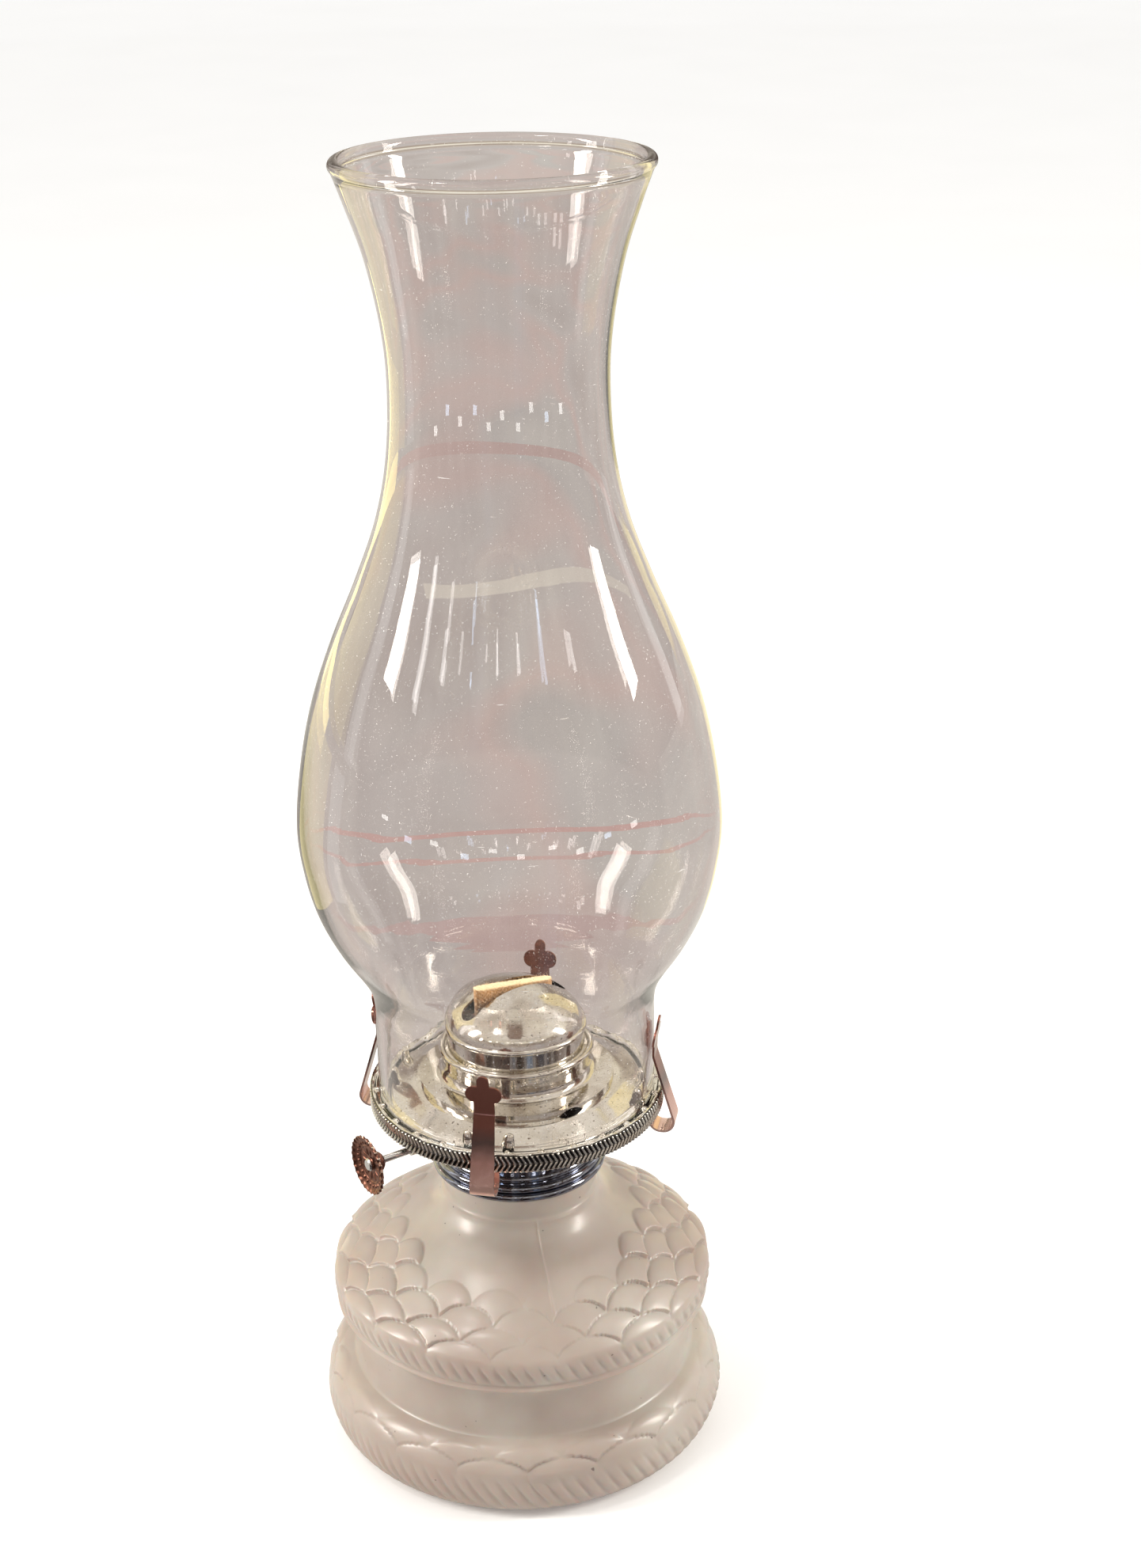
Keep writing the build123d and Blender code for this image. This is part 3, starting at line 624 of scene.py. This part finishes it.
def gallery_relief(angle, radius, height):
    """Two rows of slanted knurls on the rim, low ribs across the channel, and notches in its outer edge."""
    outer = (radius > KNURL_R - 0.1) & (height > KNURL_LOW) & (height < KNURL_HIGH)
    lean = np.where(height > KNURL_MIDDLE, 1.0, -1.15) * (height - KNURL_MIDDLE) * 0.55
    stroke = np.cos(angle * KNURL_COUNT + lean * 4.6)
    crease = 1 - bump(height - KNURL_MIDDLE, 0.3)
    knurl = outer * KNURL_DEPTH * np.clip(stroke * 1.3, -1, 1) * crease
    channel = (radius > 38.1) & (radius < 40.0) & (height > 105.7)
    rib_shape = bump(wrap(angle * RIB_COUNT + math.pi) / RIB_COUNT * radius, 1.1)
    notch_shape = bump(wrap(angle * RIB_COUNT) / RIB_COUNT * radius, 2.4)
    rib = channel * RIB_HEIGHT * rib_shape * (radius < NOTCH_FROM)
    notch = channel * (radius >= NOTCH_FROM) * -NOTCH_DEPTH * notch_shape
    return knurl + rib + notch


def make_gallery():
    """The burner's deck and its knurled rim, one pressed sheet."""
    outline = np.vstack([
        smooth_line(DECK_LINE, 0.5)[:-1],
        straight_line(RIM_LINE, 0.28)[:-1],
        straight_line(KNURL_LINE, 0.2)[:-1],
        straight_line(UNDER_LINE, 1.5),
    ])
    segments = 1472
    points = lathe_points(outline[::-1], segments, gallery_relief)
    return new_piece(
        "gallery_sheet", points, grid_faces(len(outline), segments, close_rows=True), RIM_METAL,
        "burner",
    )


LUG_REACH = 33.9             # from the lamp's axis
LUG_TURN = 5.4               # to the side of the prong
LUG_SKEW = 0.16
LUG_HALF_DEPTH = 1.3
LUG_HALF_WIDTH = 1.9
LUG_HEIGHT = 3.4
LUG_CUT = 1.1                # where the open end is cut
LUG_SHADE = 1.18             # where the dark plate of painted shade over the open end stands
DECK_AT_LUG = 106.3


def lug_place(number, side):
    """Where one lug stands: beside a prong, its open end away from the prong."""
    place = Matrix.Rotation(math.radians(45 + 90 * number), 4, "Z")
    place = place @ Matrix.Translation((LUG_REACH * MM, side * LUG_TURN * MM, DECK_AT_LUG * MM))
    return place @ Matrix.Rotation(side * LUG_SKEW, 4, "Z") @ Matrix.Scale(side, 4, Vector((0, 1, 0)))


def make_lugs():
    """Eight lugs pushed up from the deck inside the glass: a rounded bump, cut open at one end, with a dark
    plate of painted shade over that end.
    """
    rows, around = 10, 20
    bump_points, bump_faces, plate_points, plate_faces = [], [], [], []
    for number in range(4):
        for side in (-1, 1):
            place = lug_place(number, side)
            first = len(bump_points)
            for row in range(rows):
                lift = math.pi / 2 * row / (rows - 1)
                for step in range(around):
                    turn = TAU * step / around
                    out = LUG_HALF_DEPTH * math.cos(lift) ** 0.7 * math.cos(turn)
                    across = min(LUG_HALF_WIDTH * math.cos(lift) ** 0.7 * math.sin(turn), LUG_CUT)
                    point = Vector((out, across, LUG_HEIGHT * math.sin(lift)))
                    bump_points.append(tuple(place @ (point * MM)))
            quads = grid_faces(rows, around) + first
            bump_faces.extend(quads.tolist() if side > 0 else quads[:, ::-1].tolist())
            # Painted shade: a dark plate over each lug's open end stands in for the shade inside it.
            first = len(plate_points)
            for x, z in ((-1.1, 0.2), (1.1, 0.2), (0.85, 2.1), (0.0, 2.9), (-0.85, 2.1)):
                plate_points.append(tuple(place @ (Vector((x, LUG_SHADE, z)) * MM)))
            plate_faces.append([first + corner for corner in range(5)])
    new_piece("chimney_lugs", bump_points, bump_faces, MATERIALS["burner_metal"], "burner")
    # Painted shade: the near-black colour of the plates over the lugs' open ends.
    shade = Shader("lug_shade", Roughness=0.6, Metallic=0.6)
    shade.color(shade.ramp(shade.noise(900.0), (0.3, (0.02, 0.012, 0.01)), (0.7, (0.07, 0.04, 0.03))))
    new_piece(
        "lug_openings_painted_shade", plate_points, plate_faces, shade.material, "burner", smooth=False
    )


gallery = make_gallery()
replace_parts(gallery, "gallery")
make_lugs()


# ---------------------------------------------------------------- wick
WEAVE_ROOM = 0.15            # how far the weave may stand out of the plain strip
WEAVE_DEPTH = 0.13
WARP_PITCH = 1.25
WARP_WANDER = 2.3            # the height in which the warp sways once
WEFT_PITCH = 1.05
RAGGED_FROM = 126            # the height above which the sides are ragged
FIBRE_COUNT = 420
FIBRE_REACH = (WICK_HALF_WIDTH + 0.26, WICK_HALF_THICK + 0.26)
FIBRE_STEPS = 3
FIBRE_RADIUS = 0.045


def make_wick():
    """A flat woven wick: ribbed warp, cross threads and a rough cut top. Its lower end is left open."""
    random = np.random.default_rng(7)
    around = 240
    half_width, half_thick = WICK_HALF_WIDTH - WEAVE_ROOM, WICK_HALF_THICK - WEAVE_ROOM
    even = np.linspace(-1, 1, around // 2, endpoint=False)
    bulge = np.clip(1 - np.abs(even) ** 14, 0, 1) ** 0.5
    x = np.concatenate([-even * half_width, even * half_width])[None, :]
    y = np.concatenate([half_thick * bulge, -half_thick * bulge])[None, :]
    shares = np.concatenate([np.linspace(0.0, 0.85, 60), np.linspace(0.853, 1.0, 80)])[:, None]
    top = WICK_MIDDLE - 0.25 + WICK_SLOPE * x
    z = WICK_LOW + shares * (top - WICK_LOW)
    warp = np.sin(TAU * x / WARP_PITCH + 0.9 * np.sin(TAU * z / WARP_WANDER))
    weave = WEAVE_DEPTH * warp * np.cos(TAU * z / WEFT_PITCH)
    grow = 1 + weave / WICK_HALF_THICK
    ragged = random.normal(0, 0.07, z.shape) * (z > RAGGED_FROM)
    points = np.stack([x + 0 * z, y * grow + ragged * np.sign(y), z], -1)
    points[-1, :, 2] += random.uniform(-0.25, 0.15, around)
    cap_rows = []
    for shrink in (0.75, 0.45, 0.15):
        row = points[-1].copy()
        row[:, 1] *= shrink
        row[:, 2] = top[0] + random.uniform(-0.10, 0.20, around)
        cap_rows.append(row)
    points = np.concatenate([points, np.array(cap_rows)]).reshape(-1, 3)
    rows = len(points) // around
    faces = grid_faces(rows, around).tolist()
    first = (rows - 1) * around
    for i in range(around // 2 - 1):
        faces.append((first + i, first + i + 1, first + around - 2 - i, first + around - 1 - i))
    return new_piece("woven_wick", points * MM, faces, MATERIALS["wick_cotton"], "wick")


def make_fibres():
    """Loose cotton fibres that stand out of the wick's cut top and edges."""
    random = np.random.default_rng(11)
    vertices, faces = [], []
    for _ in range(FIBRE_COUNT):
        x = random.uniform(-1, 1) * (WICK_HALF_WIDTH - 0.3)
        side = random.choice([-1, 1])
        y = side * WICK_HALF_THICK * random.uniform(0.1, 0.95)
        top = WICK_MIDDLE + WICK_SLOPE * x
        z = top - random.uniform(0.2, 1.4) if abs(y) > 0.8 else top - 0.3
        lean = Vector((
            random.normal(0, 0.6), side * random.uniform(0.1, 0.9), random.uniform(-0.2, 0.8)
        )).normalized()
        curl = Vector((random.normal(0, 0.5), random.normal(0, 0.3), random.normal(0, 0.3)))
        length = random.uniform(0.4, 1.1)
        base = len(vertices)
        for step in range(FIBRE_STEPS + 1):
            share = step / FIBRE_STEPS
            centre = Vector((x, y, z)) + lean * length * share + curl * 0.35 * share * share
            centre.x = min(max(centre.x, -FIBRE_REACH[0]), FIBRE_REACH[0])
            centre.y = min(max(centre.y, -FIBRE_REACH[1]), FIBRE_REACH[1])
            centre.z = min(centre.z, top + 0.5)
            width = FIBRE_RADIUS * (1 - 0.6 * share)
            for corner in range(3):
                spin = TAU * corner / 3
                offset = Vector((math.cos(spin), math.sin(spin), 0.2 * math.sin(spin)))
                vertices.append(centre + offset * width)
        for step in range(FIBRE_STEPS):
            for corner in range(3):
                a = base + step * 3 + corner
                b = base + step * 3 + (corner + 1) % 3
                faces.append((a, b, b + 3, a + 3))
    return new_piece(
        "wick_fibres", np.array([tuple(v) for v in vertices]) * MM, faces,
        MATERIALS["wick_cotton"], "wick",
    )


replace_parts(make_wick(), "wick")
make_fibres()


# ---------------------------------------------------------------- knob
KNOB_RADIUS = (KNOB_BOX[1].z - KNOB_BOX[0].z) / 2 / MM
KNOB_BACK = KNOB_BOX[1].x / MM
KNOB_SCALLOPS = 28
KNOB_SHEET = 0.75
KNOB_DISH = 1.5
SCALLOP_DEPTH = 0.42
PETALS = 12
PETAL_RISE = 0.30
BEAD_RISE = 0.30
RING_RISE = 0.22
BOSS_RISE = 0.9
BOSS_RADIUS = 1.7


def make_knob():
    """The dished knob with a scalloped edge, embossed with a plain rosette and beads."""
    radii = np.concatenate([np.linspace(0.0, 7.2, 56), np.linspace(7.35, KNOB_RADIUS, 8)])
    segments = 336
    angles = np.linspace(0, TAU, segments, endpoint=False)[None, :]
    r = radii[:, None]
    dish = 0.2 + KNOB_DISH * (r / KNOB_RADIUS) ** 3.2
    petals = PETAL_RISE * np.clip(np.cos(angles * PETALS), 0, 1) ** 0.6 * bump(r - 3.4, 1.5)
    beads = BEAD_RISE * np.clip(np.cos(angles * PETALS * 2), 0, 1) ** 0.7 * bump(r - 6.0, 0.6)
    boss = BOSS_RISE * np.clip(1 - (r / BOSS_RADIUS) ** 2, 0, 1) ** 0.5
    middle = RING_RISE * bump(r - 5.15, 0.22) + boss
    scallop = SCALLOP_DEPTH * np.abs(np.sin(angles * KNOB_SCALLOPS / 2)) * np.clip((r - 6.9) / 0.9, 0, 1)
    reach = r - scallop
    front = -(dish + petals + beads + middle)
    back = np.broadcast_to(-(dish - KNOB_SHEET), front.shape)
    outward = np.stack([front, reach * np.cos(angles), reach * np.sin(angles)], -1)
    inward = np.stack([back, reach * np.cos(angles), reach * np.sin(angles)], -1)[::-1]
    points = np.concatenate([outward, inward])
    rows = len(points)
    points = points.reshape(-1, 3) + np.array([KNOB_BACK - 0.3, KNOB_Y, KNOB_HEIGHT / MM])
    return new_piece(
        "knob_disc", points * MM, grid_faces(rows, segments)[:, ::-1],
        MATERIALS["knob_copper"], "raiser",
    )


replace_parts(make_knob(), "knob")


# ---------------------------------------------------------------- materials of the CAD nodes
SLOTS = {row["node"]: row["material_slot"] for row in frame["record"]["subparts"]}
for node_name, node in NODES.items():
    node.data.materials.clear()
    node.data.materials.append(MATERIALS[SLOTS[node_name]])


# ---------------------------------------------------------------- studio
def stage_piece(name, vertices, faces, material, sees):
    """A staging surface that only the named kinds of ray can see."""
    mesh = bpy.data.meshes.new(name)
    mesh.from_pydata(vertices, [], faces)
    mesh.materials.append(material)
    made = bpy.data.objects.new(name, mesh)
    for ray in ("camera", "diffuse", "glossy", "transmission", "shadow"):
        setattr(made, f"visible_{ray}", ray in sees)
    bpy.context.scene.collection.objects.link(made)
    return made


def aimed(made, turn, distance, height):
    """Put something at a bearing from the camera's side, facing the lamp."""
    angle = FRONT_ANGLE + math.radians(turn)
    made.location = (distance * math.cos(angle), distance * math.sin(angle), height)
    made.rotation_euler = (Vector((0, 0, AIM_HEIGHT)) - made.location).to_track_quat("-Z", "Y").to_euler()


def glowing(name, color, strength, scale, dim):
    """A glow of one colour, cloudy down to dim times its brightness."""
    shader = Shader(name)
    clouds = shader.ramp(shader.noise(scale, 2.0), (0.3, tuple(dim * c for c in color)), (0.7, color))
    shader.glow(clouds, strength)
    return shader.material


def card(name, turn, distance, height, size, color, strength, sees=("glossy", "transmission")):
    """A glowing studio card."""
    x, y = size[0] / 2, size[1] / 2
    corners = [(-x, -y, 0), (x, -y, 0), (x, y, 0), (-x, y, 0)]
    material = glowing(name, color, strength, 2.5, 0.8)
    aimed(stage_piece(name, corners, [(0, 1, 2, 3)], material, sees), turn, distance, height)


def soft_light(name, turn, distance, height, size, energy, color):
    """A softbox at a bearing from the camera's side, aimed at the lamp."""
    data = bpy.data.lights.new(name, "AREA")
    data.shape = "RECTANGLE"
    data.size, data.size_y = size
    data.energy = energy
    data.color = color
    made = bpy.data.objects.new(name, data)
    aimed(made, turn, distance, height)
    bpy.context.scene.collection.objects.link(made)


def square(half, height):
    """The corners of a level square."""
    return [(-half, -half, height), (half, -half, height), (half, half, height), (-half, half, height)]


def make_floor():
    """A wide pale floor."""
    shader = Shader("floor", Roughness=0.9)
    shader.main.inputs["Specular IOR Level"].default_value = 0.1
    shader.main.inputs["Emission Strength"].default_value = 0.12
    shader.main.inputs["Emission Color"].default_value = (1.0, 1.0, 1.0, 1.0)
    shader.color(shader.ramp(shader.noise(6.0), (0.3, (0.88, 0.88, 0.875)), (0.7, (0.90, 0.90, 0.895))))
    stage_piece("floor", square(9.0, 0.0), [(0, 1, 2, 3)], shader.material, ("camera", "diffuse", "shadow"))


def make_tables():
    """Tables, one that shines back and one that glass shows: dark and striped near by, pale further off."""
    for name, sees, far, pales, stretch in (
        ("table_shine", "glossy", 9.0, (
            (0.35, (0.62, 0.56, 0.50)), (0.65, (0.90, 0.86, 0.76)),
        ), (3.0, 3.0, 1.0)),
        ("table_seen", "transmission", 0.60, (
            (0.32, (0.49, 0.44, 0.41)), (0.46, (0.57, 0.53, 0.50)), (0.53, (0.62, 0.51, 0.47)),
            (0.60, (0.55, 0.52, 0.49)), (0.75, (0.64, 0.61, 0.56)),
        ), (2.2, 4.5, 1.0)),
    ):
        shader = Shader(name)
        near = shader.spread(shader.along((1.0, 0.0, 0.0)), 0.0, 1.0, -0.01, 0.10)
        stripes = shader.ramp(
            shader.bearing_noise(2.6, 0.4 + FRONT_ANGLE),
            (0.40, (0.025, 0.017, 0.015)), (0.50, (0.09, 0.065, 0.058)), (0.56, (0.32, 0.30, 0.29)),
            (0.60, (0.09, 0.072, 0.068)), (0.66, (0.28, 0.35, 0.46)), (0.70, (0.035, 0.028, 0.026)),
        )
        pale = shader.ramp(shader.noise(1.0, 2.0, stretch=stretch), *pales)
        beyond = shader.spread(shader.reach((1.0, 1.0, 0.0)), 0.0, 1.0, far, far + 0.10)
        shader.glow(shader.mix(beyond, shader.mix(near, pale, stripes), pale), 1.0)
        made = stage_piece(name, square(5.0, -OFF_FLOOR), [(0, 1, 2, 3)], shader.material, (sees,))
        made.rotation_euler = (0, 0, FRONT_ANGLE)


def table_patch(name, turns, reaches, color, strength, sees=("glossy",)):
    """A glowing patch on the table, between two bearings, that the camera itself can't see."""
    corners = []
    for reach, order in ((reaches[0], turns), (reaches[1], turns[::-1])):
        for turn in order:
            angle = FRONT_ANGLE + math.radians(turn)
            corners.append((reach * math.cos(angle), reach * math.sin(angle), OFF_FLOOR))
    stage_piece(name, corners, [(0, 1, 2, 3)], glowing(name, color, strength, 4.0, 0.85), sees)


def make_room():
    """A brown room that lightens to a warm ceiling, and is pale low down where glass shows it."""
    rings, segments, radius = 24, 48, 4.0
    vertices = []
    for ring in range(rings + 1):
        rise = math.pi / 2 * ring / rings
        for segment in range(segments):
            turn = TAU * segment / segments
            vertices.append((
                radius * math.cos(rise) * math.cos(turn), radius * math.cos(rise) * math.sin(turn),
                radius * math.sin(rise) - 0.001,
            ))
    for name, sees in (("room_shine", "glossy"), ("room_seen", "transmission")):
        shader = Shader(name)
        level = shader.spread(shader.height(), 0.0, 1.0, 0.0, radius)
        uneven = shader.node("ShaderNodeMath", operation="MULTIPLY_ADD")
        shader.link(shader.noise(0.9, 3.0), uneven.inputs[0])
        uneven.inputs[1].default_value = 0.55
        shader.link(level, uneven.inputs[2])
        tones = shader.ramp(
            uneven.outputs["Value"],
            (0.22, (0.09, 0.06, 0.05)), (0.38, (0.28, 0.21, 0.18)), (0.50, (0.62, 0.55, 0.47)),
            (0.62, (0.32, 0.25, 0.20)), (0.78, (0.92, 0.86, 0.70)), (0.95, (0.95, 0.90, 0.80)),
        )
        if sees == "transmission":
            tones = shader.mix(shader.spread(level, 1.0, 0.0, 0.14, 0.26), tones, (0.58, 0.54, 0.51))
        shader.glow(tones, 1.0)
        stage_piece(name, vertices, grid_faces(rings + 1, segments).tolist(), shader.material, (sees,))


def make_world():
    """An even pale sky."""
    world = bpy.data.worlds.new("studio")
    world.use_nodes = True
    sky = world.node_tree.nodes["Background"]
    sky.inputs["Color"].default_value = (1.0, 0.99, 0.975, 1.0)
    sky.inputs["Strength"].default_value = 0.95
    bpy.context.scene.world = world


def make_camera():
    """The camera: a little above the lamp, to the left of its front."""
    data = bpy.data.cameras.new("camera")
    data.lens = CAMERA_LENS
    data.sensor_width = SENSOR_WIDTH
    data.clip_start = CLIP_START
    made = bpy.data.objects.new("camera", data)
    turn = Matrix.Rotation(CAMERA_TURN - CAMERA_YAW, 4, "Z")
    tilt = Matrix.Rotation(math.pi / 2 - CAMERA_PITCH, 4, "X")
    roll = Matrix.Rotation(CAMERA_ROLL, 4, "Z")
    place = Matrix.Translation(
        (CAMERA_DISTANCE * math.sin(CAMERA_TURN), -CAMERA_DISTANCE * math.cos(CAMERA_TURN), CAMERA_HEIGHT)
    )
    made.matrix_world = place @ turn @ tilt @ roll
    bpy.context.scene.collection.objects.link(made)
    bpy.context.scene.camera = made


make_floor()
make_tables()
make_room()
make_world()
make_camera()
bpy.context.scene.view_settings.view_transform = "Standard"
WARM = (1.0, 0.88, 0.52)
WHITE = (1.0, 0.98, 0.95)
BLUE = (0.62, 0.78, 1.0)
card("shade_front", 0, 1.5, 0.75, (1.9, 1.5), (0.20, 0.10, 0.07), 1.0, ("diffuse",))
card("shade_top", 0, 0.75, 1.7, (0.55, 1.2), (0.24, 0.14, 0.10), 1.0, ("glossy", "transmission", "diffuse"))
card("bright_left", -72, 0.9, 1.4, (0.30, 0.75), WHITE, 1.8, ("glossy",))
card("bright_right", 66, 0.9, 1.4, (0.24, 0.75), WHITE, 1.8, ("glossy",))
card("warm_left", -122, 1.6, 0.75, (1.0, 1.5), WARM, 1.3)
card("white_left", -98, 1.6, 0.75, (0.25, 1.5), WHITE, 1.6)
card("warm_right", 142, 1.6, 0.75, (0.5, 1.5), WARM, 1.3)
card("white_right", 118, 1.6, 0.75, (0.25, 1.5), WHITE, 1.6)
table_patch("warm_table_left", (-148, -112), (0.3, 1.6), WARM, 1.7)
table_patch("white_table_left", (-108, -98), (0.3, 1.6), WHITE, 1.5)
table_patch("warm_table_right", (150, 166), (0.3, 1.6), WARM, 1.5)
table_patch("sun_table_left", (-152, -124), (1.1, 2.3), (1.0, 0.84, 0.36), 4.5)
for number, (turn, reach, color) in enumerate([
    (-68, 1.48, WHITE), (-54, 1.22, BLUE), (-40, 1.36, WHITE), (-24, 1.20, BLUE), (-10, 1.44, WHITE),
    (4, 1.27, WHITE), (20, 1.45, WHITE), (34, 1.18, WHITE), (50, 1.33, BLUE), (66, 1.25, WHITE),
]):
    table_patch(f"glint_{number}", (turn - 2.0, turn + 2.0), (reach, reach + 0.14), color, 11.0)
for name, turns, reaches, color in (
    ("rose_line_1", (140, 220), (0.522, 0.530), (0.70, 0.47, 0.43)),
    ("rose_line_2", (140, 220), (0.484, 0.490), (0.68, 0.48, 0.44)),
    ("rose_line_3", (140, 220), (0.368, 0.382), (0.62, 0.48, 0.45)),
    ("rose_line_4", (165, 195), (1.07, 1.10), (0.66, 0.51, 0.47)),
    ("shelf_line", (171, 184), (0.76, 0.79), (0.76, 0.71, 0.63)),
):
    table_patch(name, turns, reaches, color, 1.0, ("transmission",))
for number, (turn, height, width, tall, color) in enumerate([
    (-44, 1.18, 0.10, 0.16, WHITE), (-33, 1.32, 0.07, 0.10, WHITE), (-24, 1.22, 0.05, 0.09, BLUE),
    (-14, 1.46, 0.06, 0.12, WHITE), (-6, 1.36, 0.05, 0.10, WHITE), (1, 1.50, 0.05, 0.09, BLUE),
    (9, 1.38, 0.06, 0.12, WHITE), (18, 1.52, 0.05, 0.09, WHITE), (26, 1.26, 0.07, 0.14, BLUE),
    (35, 1.40, 0.05, 0.10, WHITE), (47, 1.24, 0.09, 0.18, WHITE), (-60, 1.00, 0.12, 0.40, WHITE),
]):
    card(f"window_{number}", turn, 2.2, height, (width, tall), color, 8.0)
soft_light("left_softbox", -80, 1.1, 0.75, (0.20, 0.6), 10.5, (1.0, 0.97, 0.91))
soft_light("right_softbox", 85, 1.1, 0.70, (0.17, 0.6), 8.5, (1.0, 0.97, 0.90))
soft_light("high_left", -58, 0.65, 1.45, (0.16, 0.16), 3.0, (1.0, 0.98, 0.94))
